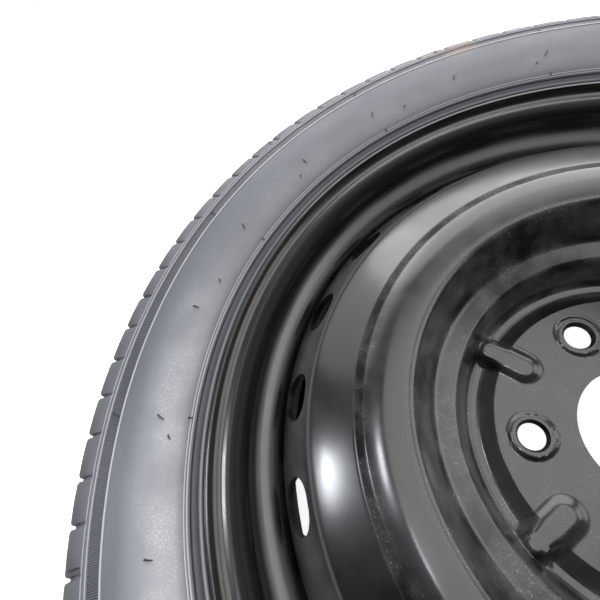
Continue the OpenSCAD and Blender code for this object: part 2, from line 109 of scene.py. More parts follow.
def spun(name, points, steps, closed=False):
    """A line of points (r, z) in millimetres, spun round the wheel's axis."""
    mesh = bpy.data.meshes.new(name)
    links = [(i, i + 1) for i in range(len(points) - 1)]
    if closed:
        links.append((len(points) - 1, 0))
    mesh.from_pydata([(p[0] * MM, 0, p[1] * MM) for p in points], links, [])
    piece = bpy.data.objects.new(name, mesh)
    bpy.context.collection.objects.link(piece)
    chosen(piece)
    bpy.ops.object.mode_set(mode="EDIT")
    bpy.ops.mesh.select_all(action="SELECT")
    bpy.ops.mesh.spin(steps=steps, angle=2 * math.pi, center=(0, 0, 0), axis=(0, 0, 1))
    bpy.ops.mesh.select_all(action="SELECT")
    bpy.ops.mesh.remove_doubles(threshold=0.002 * MM)
    bpy.ops.mesh.normals_make_consistent(inside=False)
    bpy.ops.object.mode_set(mode="OBJECT")
    return piece


def modified(piece, kind, **settings):
    """Adds a modifier with its settings and applies it."""
    chosen(piece)
    bpy.ops.object.modifier_add(type=kind)
    modifier = piece.modifiers[-1]
    for name, value in settings.items():
        setattr(modifier, name, value)
    bpy.ops.object.modifier_apply(modifier=modifier.name)


def cut(piece, *cutters):
    """Cuts closed shapes out of a piece and deletes them."""
    for cutter in cutters:
        modified(piece, "BOOLEAN", operation="DIFFERENCE", object=cutter, solver="EXACT")
        bpy.data.objects.remove(cutter)


def smoothed(piece, angle):
    """Shades a piece smooth, apart from edges sharper than an angle."""
    chosen(piece)
    bpy.ops.object.shade_smooth_by_angle(angle=math.radians(angle))


def upward(piece, point):
    """Turns an open surface over if its face nearest a point looks down."""
    nearest = min(piece.data.polygons, key=lambda face: (face.center - point).length)
    if nearest.normal.z < 0:
        piece.data.flip_normals()


def outward(piece):
    """Turns all faces of closed shapes outward."""
    chosen(piece)
    bpy.ops.object.mode_set(mode="EDIT")
    bpy.ops.mesh.select_all(action="SELECT")
    bpy.ops.mesh.normals_make_consistent(inside=False)
    bpy.ops.object.mode_set(mode="OBJECT")


seat_r = 218.3
face_z = 50.8
flange_h = 16.7
flange_lip = 0.8
flange_r = seat_r + flange_h
curl_r = 8.2
seat_bend_r = 8.6
tip_z = face_z + curl_r + flange_lip
seat_w = 17.9
seat_slope = math.radians(5)
seat_in_z = face_z - seat_w
seat_in_r = seat_r - seat_w * math.tan(seat_slope)
ledge_bend_r = 11
ledge_slope = math.radians(34)
well_depth = 15.9
well_w = 29
well_bend_r = 10
well_floor_bend_r = 6
well_r = seat_r - well_depth
ledge_z = seat_in_z - (seat_in_r - well_r) * math.tan(ledge_slope)
well_end_z = ledge_z - well_w
rim_t = 2.4
well_in_r = well_r - rim_t
flange_corners = [
    (flange_r, tip_z),
    (flange_r, face_z, curl_r),
    (seat_r, face_z, seat_bend_r),
    (seat_in_r, seat_in_z, ledge_bend_r),
]
rim_corners = (
    flange_corners
    + [(well_r, ledge_z, well_bend_r), (well_r, well_end_z, well_floor_bend_r)]
    + [(c[0], -c[1], *c[2:]) for c in reversed(flange_corners)]
)
rim_piece_l = 5
turn_steps = 360
rim = spun("rim", divided(rounded(rim_corners), rim_piece_l), turn_steps)
modified(rim, "SOLIDIFY", thickness=rim_t * MM, offset=-1, use_even_offset=True)
solid_rim_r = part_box("rim")[1].x
if max(corner[0] for corner in rim.bound_box) > solid_rim_r + 0.5 * MM:
    raise SystemExit("the rim's sheet lies on the wrong side")
edge_angle = math.radians(60)
modified(rim, "BEVEL", width=0.7 * MM, segments=3, limit_method="ANGLE", angle_limit=edge_angle)


def even(piece, angle):
    """Shades a piece smooth between sharp edges, with flat faces kept flat."""
    smoothed(piece, angle)
    modified(piece, "WEIGHTED_NORMAL", keep_sharp=True)


valve_az, valve_r, valve_z = 300, 207.903, 29.839
valve_hole_r, valve_hole_l = 5.65, 14


def at_valve(mesh):
    """Moves a mesh from the wheel's axis to the valve's axis, with its origin on the ledge."""
    turn = Matrix.Rotation(math.radians(valve_az), 4, "Z")
    stand = Matrix.Translation((valve_r * MM, 0, valve_z * MM))
    mesh.transform(turn @ stand @ Matrix.Rotation(-ledge_slope, 4, "Y"))


bpy.ops.mesh.primitive_cylinder_add(
    vertices=48, radius=valve_hole_r * MM, depth=valve_hole_l * MM
)
valve_hole = bpy.context.object
at_valve(valve_hole.data)
cut(rim, valve_hole)


def paint(piece, material):
    """Gives a piece one material."""
    piece.data.materials.clear()
    piece.data.materials.append(material)


def linear(hex_colour):
    """The linear colour of an sRGB hex value."""
    parts = [int(hex_colour[i : i + 2], 16) / 255 for i in (1, 3, 5)]
    return [c / 12.92 if c <= 0.04045 else ((c + 0.055) / 1.055) ** 2.4 for c in parts] + [1]


def material(name):
    """A new material with its surface shader."""
    made = bpy.data.materials.new(name)
    made.use_nodes = True
    return made, made.node_tree.nodes["Principled BSDF"]


def add(made, kind, inputs, **settings):
    """Adds a node with its settings; a socket among the inputs is linked, a value is set."""
    new = made.node_tree.nodes.new("ShaderNode" + kind)
    for name, value in settings.items():
        setattr(new, name, value)
    for name, value in inputs.items():
        if isinstance(value, bpy.types.NodeSocket):
            made.node_tree.links.new(value, new.inputs[name])
        else:
            new.inputs[name].default_value = value
    return new


def ramp(made, factor, stops):
    """A colour ramp; each stop is a place between 0 and 1 and a colour."""
    new = add(made, "ValToRGB", {"Fac": factor})
    band = new.color_ramp
    while len(band.elements) < len(stops):
        band.elements.new(0.5)
    for element, (place, colour) in zip(band.elements, stops):
        element.position = place
        element.color = linear(colour)
    return new.outputs["Color"]


def joined(made, source, shader, socket):
    """Links a node's output to a socket of the surface shader."""
    made.node_tree.links.new(source, shader.inputs[socket])


def by_radius(made, place, low, high):
    """Distance from the wheel's axis, as 0 to 1 between two radii in millimetres."""
    flat = add(made, "VectorMath", {0: place, 1: (1, 1, 0)}, operation="MULTIPLY").outputs[0]
    radius = add(made, "VectorMath", {0: flat}, operation="LENGTH").outputs["Value"]
    ends = {"Value": radius, "From Min": low * MM, "From Max": high * MM}
    return add(made, "MapRange", ends).outputs["Result"]


def noise_field(made, place, grain, detail=2):
    """Noise with a grain size in millimetres."""
    settings = {"Vector": place, "Scale": 1 / (grain * MM), "Detail": detail}
    return add(made, "TexNoise", settings).outputs["Fac"]


def spread(made, value, low, high, floor=0, top=1):
    """Stretches a value between two limits to a new range."""
    ends = {"Value": value, "From Min": low, "From Max": high, "To Min": floor, "To Max": top}
    return add(made, "MapRange", ends).outputs["Result"]


def product(made, *values):
    """The product of some values."""
    total = values[0]
    for value in values[1:]:
        total = add(made, "Math", {0: total, 1: value}, operation="MULTIPLY").outputs[0]
    return total


def blended(made, factor, low, high):
    """A colour between two colours."""
    mixed = add(made, "Mix", {"Factor": factor}, data_type="RGBA")
    for socket, colour in (("A", low), ("B", high)):
        target = next(s for s in mixed.inputs if s.name == socket and s.type == "RGBA")
        if isinstance(colour, str):
            target.default_value = linear(colour)
        else:
            made.node_tree.links.new(colour, target)
    return next(s for s in mixed.outputs if s.type == "RGBA")


# Black dip paint on pressed steel: a smooth satin coat that shows soft lights. Its faint waviness
# comes from the sheet. Dust and grit lie in the groove, on the crown and on the drop centre's slope.
# The stops are distances from the wheel's axis, as shares of paint_reach.
dip_paint, shader = material("black_dip_paint")
paint_reach = 250
bare_paint, dust_grey = "#08090b", "#a4a6a6"
none, full = "#000000", "#ffffff"
place = add(dip_paint, "TexCoord", {}).outputs["Object"]
radius = by_radius(dip_paint, place, 0, paint_reach)
grit = noise_field(dip_paint, place, 0.75)
fine = noise_field(dip_paint, place, 0.35, 1)
patches = noise_field(dip_paint, place, 16, 3)
dust_stops = [
    (0, "#909090"), (0.29, "#909090"), (0.31, "#303030"), (0.36, "#d0d0d0"), (0.47, "#d0d0d0"),
    (0.5, "#505050"), (0.56, "#505050"), (0.579, "#c0c0c0"), (0.600, "#c0c0c0"), (0.602, "#404040"),
    (0.69, "#181818"), (0.706, "#181818"), (0.71, "#a0a0a0"), (0.79, "#a0a0a0"), (0.81, "#101010"),
]
dust_level = ramp(dip_paint, radius, dust_stops)
grit_cover = spread(dip_paint, grit, 0.62, 0.68)
patch_cover = spread(dip_paint, patches, 0.38, 0.62)
dust = product(dip_paint, dust_level, patch_cover, grit_cover)
film_share = 0.17
film = product(dip_paint, dust_level, patch_cover, film_share)
haze = add(dip_paint, "Math", {0: dust, 1: film}, operation="MAXIMUM").outputs[0]
# A worn line on the crease under the crown, and a dusty band on the drop centre's slope.
pale_stops = [
    (0.704, none), (0.708, "#808080"), (0.711, "#808080"), (0.715, none),
    (0.826, none), (0.834, "#a0a0a0"), (0.85, "#a0a0a0"), (0.858, none),
]
pale_bands = ramp(dip_paint, radius, pale_stops)
haze = add(dip_paint, "Math", {0: haze, 1: pale_bands}, operation="MAXIMUM").outputs[0]
joined(dip_paint, blended(dip_paint, haze, bare_paint, dust_grey), shader, "Base Color")
# Less shine in the crown's groove, where the paint is dusty. In the bend behind the flange the shine
# is cut as painted shade, standing in for the flange's shadow.
dusty_and_shaded_stops = [
    (0.578, none), (0.582, full), (0.597, full), (0.601, none),
    (0.862, none), (0.868, full), (0.892, full), (0.9, none),
]
dusty_and_shaded = ramp(dip_paint, radius, dusty_and_shaded_stops)
sheen_level = spread(dip_paint, patches, 0.3, 0.7, 0.36, 0.44)
roughened = {0: haze, 1: 0.5, 2: sheen_level}
dusty_rough = add(dip_paint, "Math", roughened, operation="MULTIPLY_ADD").outputs[0]
joined(dip_paint, spread(dip_paint, dusty_and_shaded, 0, 1, dusty_rough, 0.6), shader, "Roughness")
joined(dip_paint, spread(dip_paint, dusty_and_shaded, 0, 1, 0.4, 0.15), shader, "Specular IOR Level")
joined(dip_paint, spread(dip_paint, dusty_and_shaded, 0, 1, 1, 0.1), shader, "Coat Weight")
joined(dip_paint, spread(dip_paint, patches, 0.3, 0.7, 0.16, 0.22), shader, "Coat Roughness")
peel = noise_field(dip_paint, place, 4, 1)
waves = add(dip_paint, "Bump", {"Height": peel, "Strength": 0.1, "Distance": 0.08 * MM}).outputs[0]
grains = {"Height": fine, "Strength": 0.12, "Distance": 0.03 * MM, "Normal": waves}
joined(dip_paint, add(dip_paint, "Bump", grains).outputs[0], shader, "Normal")
paint(rim, dip_paint)
even(rim, 35)
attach(rim, "wheel")
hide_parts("rim")

# Disc: one steel pressing with a skirt, a band of oval vents, a high crown and a hub pad in a moat.
# The skirt is pressed into the drop centre and welded; ribs are pressed across the moat.
disc_t = 4
press_gap = 0.05
skirt_r = well_in_r - press_gap
skirt_z = 10.7
corner_z = 24.7
crease = (177.4, 54.6)
moat_z = 22
pad_z = 27.3
bore_r = 33.55
crown_z = 72.2
ring_out_r, ring_in_r = 150.4, 144.5
ring_side, ring_depth = 1.4, 0.5
# The crown's slope in degrees at each radius, from the light that the paint throws back.
crown_slopes = [
    (177.4, 40), (174, 29), (165, 26), (155, 25), (150, 24),
    (144.7, 18), (136.5, 7), (134, -1), (123, -4),
]


def slope_at(r):
    """Slope of the crown towards the rim at a radius, in degrees."""
    for (r1, a1), (r2, a2) in zip(crown_slopes, crown_slopes[1:]):
        if r >= r2:
            return a1 + (a2 - a1) * (r1 - r) / (r1 - r2)
    return crown_slopes[-1][1]


def sunk(r):
    """Depth of the narrow pressed groove round the crown at a radius."""
    outer, inner = (ring_out_r - r) / ring_side, (r - ring_in_r) / ring_side
    return ring_depth * min(1, max(0, outer), max(0, inner))


crown_radii = [crease[0] - k for k in range(1, 27)]
crown_radii += [ring_out_r, 149.7, 149, 147.5, 145.9, 145.2, ring_in_r]
crown_radii += [143 - k for k in range(20)]
heights = [0]
for r1, r2 in zip([crease[0]] + crown_radii, crown_radii):
    heights.append(heights[-1] + (r1 - r2) * math.tan(math.radians(slope_at((r1 + r2) / 2))))
rise = (crown_z - crease[1]) / max(heights)
crown_line = [(r, crease[1] + h * rise - sunk(r)) for r, h in zip(crown_radii, heights[1:])]
disc_corners = [
    (skirt_r, skirt_z),
    (skirt_r, corner_z, 7),
    (*crease, 2),
    *crown_line,
    (119.5, 71.2, 5),
    (109, 47, 7),
    (96.5, 42.5, 3.5),
    (89.5, 22.6, 4),
    (83.5, moat_z, 4),
    (75.2, pad_z, 1.2),
    (bore_r, pad_z),
]
disc_line = rounded(disc_corners)
hub_fall_r = 96
coarse_l, fine_l = 3, 1.3
fine_from = next(i for i, p in enumerate(disc_line) if p.x < hub_fall_r)
disc_line = (
    divided(disc_line[: fine_from + 1], coarse_l) + divided(disc_line[fine_from:], fine_l)[1:]
)
disc = spun("disc", disc_line, turn_steps)
upward(disc, Vector((131, 0, crown_z)) * MM)


def eased(value, low, high):
    """0 below low, 1 above high and a smooth curve between."""
    part = min(1, max(0, (value - low) / (high - low)))
    return part * part * (3 - 2 * part)


# Ribs across the moat and a low boss round each stud hole, pressed up out of the sheet.
rib_count = 5
rib_az = 152
rib_r = 9
rib_h = 2.4
rib_z = pad_z + rib_h
rib_from, rib_to = 64.2, 84
rib_flank_in, rib_flank_out = 5, 1.5
rib_round = 1.5
ribbed_r = 95
stud_circle_r = 57.15
boss_r, boss_h, boss_side = 12.5, 1.2, 1.2
rib_turn = 360 / rib_count
for vertex in disc.data.vertices:
    x, y, z = (v / MM for v in vertex.co)
    r = math.hypot(x, y)
    if r > ribbed_r:
        continue
    angle = math.degrees(math.atan2(y, x)) - rib_az
    away = (angle + rib_turn / 2) % rib_turn - rib_turn / 2
    along = r * math.cos(math.radians(away))
    across = r * math.sin(math.radians(away))
    beyond = max(rib_from - along, 0, along - rib_to)
    off = math.hypot(across, beyond)
    lift = rib_z - z
    dome = 0.5 * (lift + math.sqrt(lift * lift + rib_round))
    z += dome * (1 - eased(off, rib_r - rib_flank_in, rib_r + rib_flank_out))
    side = math.radians((away + rib_turn) % rib_turn - rib_turn / 2)
    stud = Vector((r * math.cos(side) - stud_circle_r, r * math.sin(side)))
    z += boss_h * (1 - eased(stud.length, boss_r - boss_side, boss_r))
    vertex.co.z = z * MM
modified(disc, "SOLIDIFY", thickness=disc_t * MM, offset=-1, use_even_offset=True)
modified(disc, "BEVEL", width=0.6 * MM, segments=2, limit_method="ANGLE", angle_limit=edge_angle)

vent_count = 20
vent_l, vent_w, vent_up = 29.5, 25, 17
band_slope = math.atan2(crease[1] - corner_z, skirt_r - crease[0])
up_band = Vector((-math.cos(band_slope), 0, math.sin(band_slope)))
vent_at = Vector((skirt_r, 0, corner_z)) + up_band * vent_up
cutter_l = 20


def oval(name, length, width, depth):
    """A closed oval prism along Z, longer along Y, round at both ends."""
    bpy.ops.mesh.primitive_cylinder_add(vertices=64, radius=width / 2 * MM, depth=depth * MM)
    piece = bpy.context.object
    piece.name = name
    for vertex in piece.data.vertices:
        vertex.co.y += math.copysign((length - width) / 2 * MM, vertex.co.y)
    return piece


def copied(piece, count, start, name):
    """One mesh of copies of a piece, turned round the wheel's axis."""
    whole = bpy.data.objects.new(name, bpy.data.meshes.new(name))
    bpy.context.collection.objects.link(whole)
    copies = []
    for i in range(count):
        one = piece.copy()
        one.data = piece.data.copy()
        one.data.transform(Matrix.Rotation(math.radians(start + i * 360 / count), 4, "Z"))
        bpy.context.collection.objects.link(one)
        copies.append(one)
    bpy.data.objects.remove(piece)
    chosen(*copies, whole)
    bpy.ops.object.join()
    return whole


vent = oval("vent", vent_l, vent_w, cutter_l)
leaned = Matrix.Rotation(math.pi / 2 - band_slope, 4, "Y")
vent.data.transform(Matrix.Translation(vent_at * MM) @ leaned)
vents = copied(vent, vent_count, 0, "vents")
stud_r = 7.25
stud_top = pad_z + boss_h
nut_seat_depth, above = 2.4, 1
nut_seat_slope = math.tan(math.radians(30))
stud_line = [
    (0, -cutter_l),
    (stud_r, -cutter_l),
    (stud_r, stud_top - nut_seat_depth),
    (stud_r + (nut_seat_depth + above) * nut_seat_slope, stud_top + above),
    (0, stud_top + above),
]
stud = spun("stud", stud_line, 48)
stud.data.transform(Matrix.Translation((stud_circle_r * MM, 0, 0)))
studs = copied(stud, rib_count, rib_az + rib_turn / 2, "studs")
cut(disc, vents, studs)
paint(disc, dip_paint)
even(disc, 35)
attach(disc, "wheel")
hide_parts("disc")

# Weld beads: eight arcs of weld metal in the corner between the skirt's end and the rim, laid by a
# welding robot in small overlapping ripples and painted over.
weld_count, weld_arc = 8, 15.84
weld_z = skirt_z - 0.08
ripple_depth, end_size, taper = 0.1, 0.35, 4
bead_profile = [(0.1, 0.1), (3.2, 0.1), (2.7, 1.2), (1.9, 2.1), (1.0, 2.8), (0.1, 3.2)]
weld = bpy.data.meshes.new("weld")
rings, sides = 97, len(bead_profile)
spots = []
for k in range(rings):
    angle = math.radians(weld_arc * (k / (rings - 1) - 0.5))
    ripple = 1 - ripple_depth + ripple_depth * abs(math.sin(k * math.pi / 3))
    end = min(1, math.sin(math.pi * (k + 1) / (rings + 1)) * taper)
    size = ripple * (end_size + (1 - end_size) * end)
    for out, down in bead_profile:
        r = well_in_r - out * size
        z = weld_z - down * size
        spots.append((r * math.cos(angle) * MM, r * math.sin(angle) * MM, z * MM))
walls = []
for k in range(rings - 1):
    here, on = k * sides, (k + 1) * sides
    for i in range(sides):
        j = (i + 1) % sides
        walls.append((here + i, here + j, on + j, on + i))
walls += [tuple(range(sides)), tuple(range(rings * sides - 1, (rings - 1) * sides - 1, -1))]
weld.from_pydata(spots, [], walls)
bead = bpy.data.objects.new("bead", weld)
bpy.context.collection.objects.link(bead)
welds = copied(bead, weld_count, 0, "welds")
outward(welds)
paint(welds, dip_paint)
smoothed(welds, 40)
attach(welds, "wheel")
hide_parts("weld_beads")

# Tyre: one vulcanised rubber moulding with three plain grooves, a ring of notched blocks at each
# shoulder and moulded lines on its walls. Its beads sit on the rim and hold the air.
tyre_r = 317.5
belly_r, belly_z = seat_r + 56, 72.5
clinch_r, clinch_z = seat_r + 24.4, face_z + 10.3
shoulder_r, shoulder_z = tyre_r - 3.1, 59.7
tread_fall = 2400
groove_z, groove_w, groove_d = 25, 7.5, 5
tread_t = 12
wall_t = 7.5
liner_r = tyre_r - tread_t
block_line_r, line_out_r, line_in_r = tyre_r - 19.6, tyre_r - 22.8, tyre_r - 32.6
line_h = 0.5
toe_z = seat_in_z + 0.6
bead_gap = 0.2


def tread(z, sink=0):
    """A point of the tread, which is slightly crowned."""
    return (tyre_r - z * z / tread_fall - sink, z)


def wall_z(r):
    """Height of the sidewall, which is widest at the belly."""
    if r < belly_r:
        return belly_z - (belly_z - clinch_z) * ((belly_r - r) / (belly_r - clinch_r)) ** 2
    return belly_z - (belly_z - shoulder_z) * ((r - belly_r) / (shoulder_r - belly_r)) ** 2


def wall(r, lift=0):
    """A point of the sidewall."""
    return (r, wall_z(r) + lift)


def wall_run(start, end, count):
    """Points along the sidewall."""
    return [wall(start + (end - start) * k / count) for k in range(count + 1)]


def wall_line(r, w):
    """A moulded line across the sidewall."""
    return [wall(r + w), wall(r + w * 0.45, line_h), wall(r - w * 0.45, line_h), wall(r - w)]


groove_foot, groove_lip = 0.8, 0.3
groove_half = groove_w / 2
groove_in, groove_out = groove_z - groove_half, groove_z + groove_half
half = (
    # the middle groove and the rib beside it
    [tread(0, groove_d), tread(groove_half - groove_foot, groove_d)]
    + [tread(groove_half, groove_d - groove_foot), tread(groove_half, groove_lip)]
    + [tread(groove_half + groove_lip), tread(groove_z / 2)]
    # the outer groove
    + [tread(groove_in - groove_lip), tread(groove_in, groove_lip)]
    + [tread(groove_in, groove_d - groove_foot), tread(groove_in + groove_foot, groove_d)]
    + [tread(groove_out - groove_foot, groove_d), tread(groove_out, groove_d - groove_foot)]
    + [tread(groove_out, groove_lip), tread(groove_out + groove_lip)]
    # the blocks and the shoulder
    + [tread(34.8), tread(37.8), tread(43), tread(48), tread(52.6), tread(54.3, 0.1)]
    + [tread(55.6, 0.5), (shoulder_r + 1.2, 57.4), (shoulder_r + 0.2, 59.2)]
    # the wall, with its lines and the sunk band for the serration
    + wall_run(shoulder_r - 1.2, block_line_r + 2.2, 5)
    + wall_line(block_line_r, 0.55)
    + [wall(line_out_r + 1.4)]
    + wall_line(line_out_r, 0.6)
    + [wall(line_out_r - 1.2, -line_h), wall(line_out_r - 4, -line_h), wall(line_in_r + 4, -line_h)]
    + [wall(line_in_r + 1.2, -line_h)]
    + wall_line(line_in_r, 0.9)
    + wall_run(line_in_r - 3, clinch_r + 5, 12)
    + wall_line(clinch_r + 2, 0.45)
    + wall_line(clinch_r + 0.8, 0.45)
    + [wall(clinch_r - 0.3), wall(clinch_r - 0.5, -0.8), wall(clinch_r - 0.9, -0.8)]
    + [wall(clinch_r - 1.1)]
    # down beside the flange
    + [wall(flange_r + bead_gap + 3.4, 0.2), (flange_r + bead_gap + 2.2, tip_z + 0.95)]
    + [(flange_r + bead_gap + 1.5, tip_z + 0.75), (flange_r + bead_gap + 0.2, tip_z - 0.5)]
    + [(flange_r + bead_gap, tip_z - 0.9)]
)
bead_line = rounded(
    [
        (flange_r + bead_gap, tip_z - 1.2),
        (flange_r + bead_gap, face_z - bead_gap, curl_r + bead_gap),
        (seat_r + bead_gap, face_z - bead_gap, seat_bend_r - bead_gap),
        (seat_r - (face_z - toe_z) * math.tan(seat_slope) + bead_gap, toe_z, 1.2),
        (seat_r + 3, toe_z - 0.1, 2),
        (clinch_r + 8, wall_z(clinch_r + 8) - wall_t, 20),
        (belly_r, belly_z - wall_t, 30),
        (liner_r - 8, wall_z(liner_r - 8) - wall_t, 10),
        (liner_r, shoulder_z - 10, 8),
        (liner_r, 0),
    ],
    10,
)
upper = [Vector(p) for p in half] + bead_line
lower = [Vector((p.x, -p.y)) for p in reversed(upper[1:-1])]
notch_count, notch_az, notch_depth = 82, 112.4, 3.6
notch_foot, notch_foot_w = line_out_r + 1.4, 6.6
foot_depth = 0.6 * notch_depth
floor_drop, shoulder_edge_z, tread_edge_z = 4.9, 53, 37
pitch = 2 * math.pi / notch_count
# Columns of points across one notch and its block: their places in mm, and how far each goes down.
lines = (-0.55, 0.55, 1.2, 2.6, 12.2, 21.7, 23.1)
shares = (0.6, 0.6, 0.15, 0.02, 0, 0.02, 0.15)
tyre = spun("tyre", upper + lower, notch_count * len(lines), closed=True)


def notch_floor(r, z):
    """Where a point of the outline goes at the bottom of a notch."""
    foot = wall(notch_foot + notch_foot_w, -foot_depth)
    end = (tyre_r - floor_drop, shoulder_z - 6)
    if z > shoulder_edge_z and r < shoulder_r:
        along = (r - notch_foot) / notch_foot_w
        if along < 1:
            return r, z - max(0, along) * foot_depth
        along = (r - foot[0]) / (shoulder_r - foot[0])
        return foot[0] + along * (end[0] - foot[0]), foot[1] + along * (end[1] - foot[1])
    if z > shoulder_edge_z:
        return end[0], end[1] - 0.3 + 0.12 * (z - shoulder_edge_z)
    if z > tread_edge_z and r > liner_r + 3:
        return end[0] + 0.6 * (shoulder_edge_z - z) / (shoulder_edge_z - tread_edge_z), z
    return r, z


# The moulded lines stand proud of the wall and stop at each notch; their tops are painted lighter,
# partly as wear and partly as painted highlight.
worn_and_highlit = tyre.data.attributes.new("worn_and_highlit", "FLOAT", "POINT")
column = 2 * math.pi / (notch_count * len(lines))
lined_from, lined_to, block_line_from = 242, 302, 299
for vertex in tyre.data.vertices:
    x, y, z = (v / MM for v in vertex.co)
    r, height = math.hypot(x, y), abs(z)
    block, part = divmod(round(math.atan2(y, x) / column), len(lines))
    angle = math.radians(notch_az) + block * pitch + lines[part] / tyre_r
    raised = lined_from < r < lined_to and height > wall_z(r) + 0.3
    share = shares[part]
    if raised and r > block_line_from and share > 0.1:
        raised, height = False, height - line_h
    if r > notch_foot and share > 0:
        low_r, low_z = notch_floor(r, height)
        r, height = r + (low_r - r) * share, height + (low_z - height) * share
    worn_and_highlit.data[vertex.index].value = float(raised)
    height = math.copysign(height, z)
    vertex.co = (r * math.cos(angle) * MM, r * math.sin(angle) * MM, height * MM)

# Rubber as it comes from the mould: satin and blue-grey, darker in the serrated band, and warmer and
# dusty at the shoulder, with a brown smear of old mud. Painted light on it: a pale band of sheen and
# bloom near the rim, brighter on the lit side, a highlight on the lip by the flange, painted shade in
# the gaps and grooves, and lighter tops on the moulded lines. The stops are distances from the
# wheel's axis, as shares of the way from rubber_from to rubber_to.
rubber, shader = material("moulded_rubber")
rubber_from, rubber_to = 230, 330
place = add(rubber, "TexCoord", {}).outputs["Object"]
radius = by_radius(rubber, place, rubber_from, rubber_to)
# Painted light in the stops: a pale highlight line on the rubber lip by the flange with painted shade
# beside it (0.058 to 0.071), painted shade in the small groove above it (0.112 to 0.126), and a
# lighter band of painted sheen on the wall near the rim (0.155 to 0.38).
tone_stops = [
    (0.058, "#26272b"), (0.0625, "#8e9093"), (0.067, "#8e9093"), (0.071, "#404248"),
    (0.112, "#53555b"), (0.116, "#1a1b1f"), (0.122, "#1a1b1f"), (0.126, "#666970"),
    (0.155, "#7c7f86"), (0.19, "#a2a4aa"), (0.25, "#a8aab0"), (0.38, "#8b8e95"),
    (0.46, "#70737b"), (0.54, "#60636b"), (0.555, "#5c5f68"), (0.635, "#5c5f68"),
    (0.645, "#6c6f76"), (0.78, "#606266"), (1, "#605f5a"),
]
tone = ramp(rubber, radius, tone_stops)
cloud = noise_field(rubber, place, 30, 3)
speck = noise_field(rubber, place, 0.7)
# Painted light: the side that the direction picks out, where the lamps fall, gets more bloom and
# sheen, and the far side is painted darker.
lit_side = (-0.9, -0.44, 0)
towards = {0: place, 1: lit_side}
light_facing = add(rubber, "VectorMath", towards, operation="DOT_PRODUCT").outputs["Value"]
lit_side_share = spread(rubber, light_facing, 0.17, 0.27)
# Pale specks and patches in a band near the rim: bloom, and painted sheen of the wall's curve.
sheen_and_bloom_zone = ramp(rubber, radius, [(0.14, none), (0.22, full), (0.3, full), (0.4, none)])
sheen_and_bloom_patches = spread(rubber, cloud, 0.42, 0.6)
sheen_and_bloom_specks = spread(rubber, speck, 0.48, 0.62, 0.05, 0.75)
sheen_and_bloom = product(rubber, sheen_and_bloom_zone, sheen_and_bloom_patches, sheen_and_bloom_specks)
sheen_and_bloom = product(rubber, sheen_and_bloom, spread(rubber, lit_side_share, 0, 1, 0.3, 1))
tone = blended(rubber, sheen_and_bloom, tone, "#d0d1d4")
# Painted shade: the side facing away from the light is mixed halfway to a dark grey.
tone = blended(rubber, spread(rubber, lit_side_share, 0, 1, 0.5, 0), tone, "#464a52")
tone = blended(rubber, spread(rubber, cloud, 0.4, 0.62, 0.2, 0), tone, "#5a5c63")
# Fine teeth cut the light in the serrated band; in the mould they are about 1 mm apart. The gaps
# between them are painted dark, as painted shade.
tooth_count = 1720.0
axes = add(rubber, "SeparateXYZ", {"Vector": place}).outputs
turn = add(rubber, "Math", {0: axes["Y"], 1: axes["X"]}, operation="ARCTAN2").outputs[0]
teeth = add(rubber, "Math", {0: product(rubber, turn, tooth_count)}, operation="SINE").outputs[0]
in_band = ramp(rubber, radius, [(0.556, none), (0.563, full), (0.633, full), (0.64, none)])
tooth = spread(rubber, teeth, -0.6, 0.6)
painted_gap_shade = product(rubber, in_band, spread(rubber, teeth, 0.4, -0.6, 0, 0.75))
tone = blended(rubber, painted_gap_shade, tone, "#1d1f24")
worn_and_highlit_amount = add(rubber, "Attribute", {}, attribute_name="worn_and_highlit").outputs["Fac"]
# Lighter tops of the moulded lines: wear and painted highlight.
tone = blended(rubber, product(rubber, worn_and_highlit_amount, 0.85), tone, "#bcbec2")
# Mud spots on the shoulder: azimuth, radius, size and strength.
mud_spots = ((106.9, 292, 17, 0.7), (110.8, 300, 12, 0.5), (104.5, 300, 12, 0.4))
mud_height = 0.068
for angle, r, size, strength in mud_spots:
    a = math.radians(angle)
    spot = (r * MM * math.cos(a), r * MM * math.sin(a), mud_height)
    away = add(rubber, "VectorMath", {0: place, 1: spot}, operation="DISTANCE").outputs["Value"]
    patch = spread(rubber, away, size * MM, 0.0, 0, strength)
    mud = product(rubber, patch, spread(rubber, speck, 0.35, 0.6))
    tone = blended(rubber, mud, tone, "#a88a6e")
joined(rubber, tone, shader, "Base Color")
joined(rubber, spread(rubber, cloud, 0.3, 0.7, 0.42, 0.55), shader, "Roughness")
ribs = product(rubber, in_band, tooth)
serration = add(rubber, "Bump", {"Height": ribs, "Strength": 0.8, "Distance": 0.3 * MM}).outputs[0]
skin = {"Height": speck, "Strength": 0.25, "Distance": 0.06 * MM, "Normal": serration}
joined(rubber, add(rubber, "Bump", skin).outputs[0], shader, "Normal")
paint(tyre, rubber)
smoothed(tyre, 35)
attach(tyre, "wheel")
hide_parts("tyre")

# Moulding whiskers: thin rubber hairs left by the mould's vent holes, in rings at regular places.
# Most have been pressed over and lie along the wall with their tips raised.
# Each ring: radius of the roots, radius of the tips, azimuth of the first one and spacing.
whisker_rings = (
    (246.3, 243.8, 5.1, 30), (262.0, 257.8, 5.0, 15), (254.8, 252.9, 7.2, 22.5),
    (276.8, 271.0, 9.9, 20), (292.6, 285.5, 4.9, 30), (309.5, 299.0, 19.4, 30),
)
random.seed(5)
bpy.ops.mesh.primitive_cylinder_add(vertices=6, radius=0.5, depth=1, end_fill_type="TRIFAN")
hair = bpy.context.object
bpy.ops.object.mode_set(mode="EDIT")
bpy.ops.mesh.select_all(action="SELECT")
bpy.ops.mesh.bisect(plane_co=(0, 0, 0), plane_no=(0, 0, 1))
bpy.ops.object.mode_set(mode="OBJECT")
for vertex in hair.data.vertices:
    along = vertex.co.z + 0.5
    thin = 1 - 0.45 * along
    lift = 0.5 * math.sin(along * math.pi * 0.9)
    vertex.co = (along, vertex.co.y * thin, vertex.co.x * thin + lift)
hairs = []
top = belly_z - 0.9
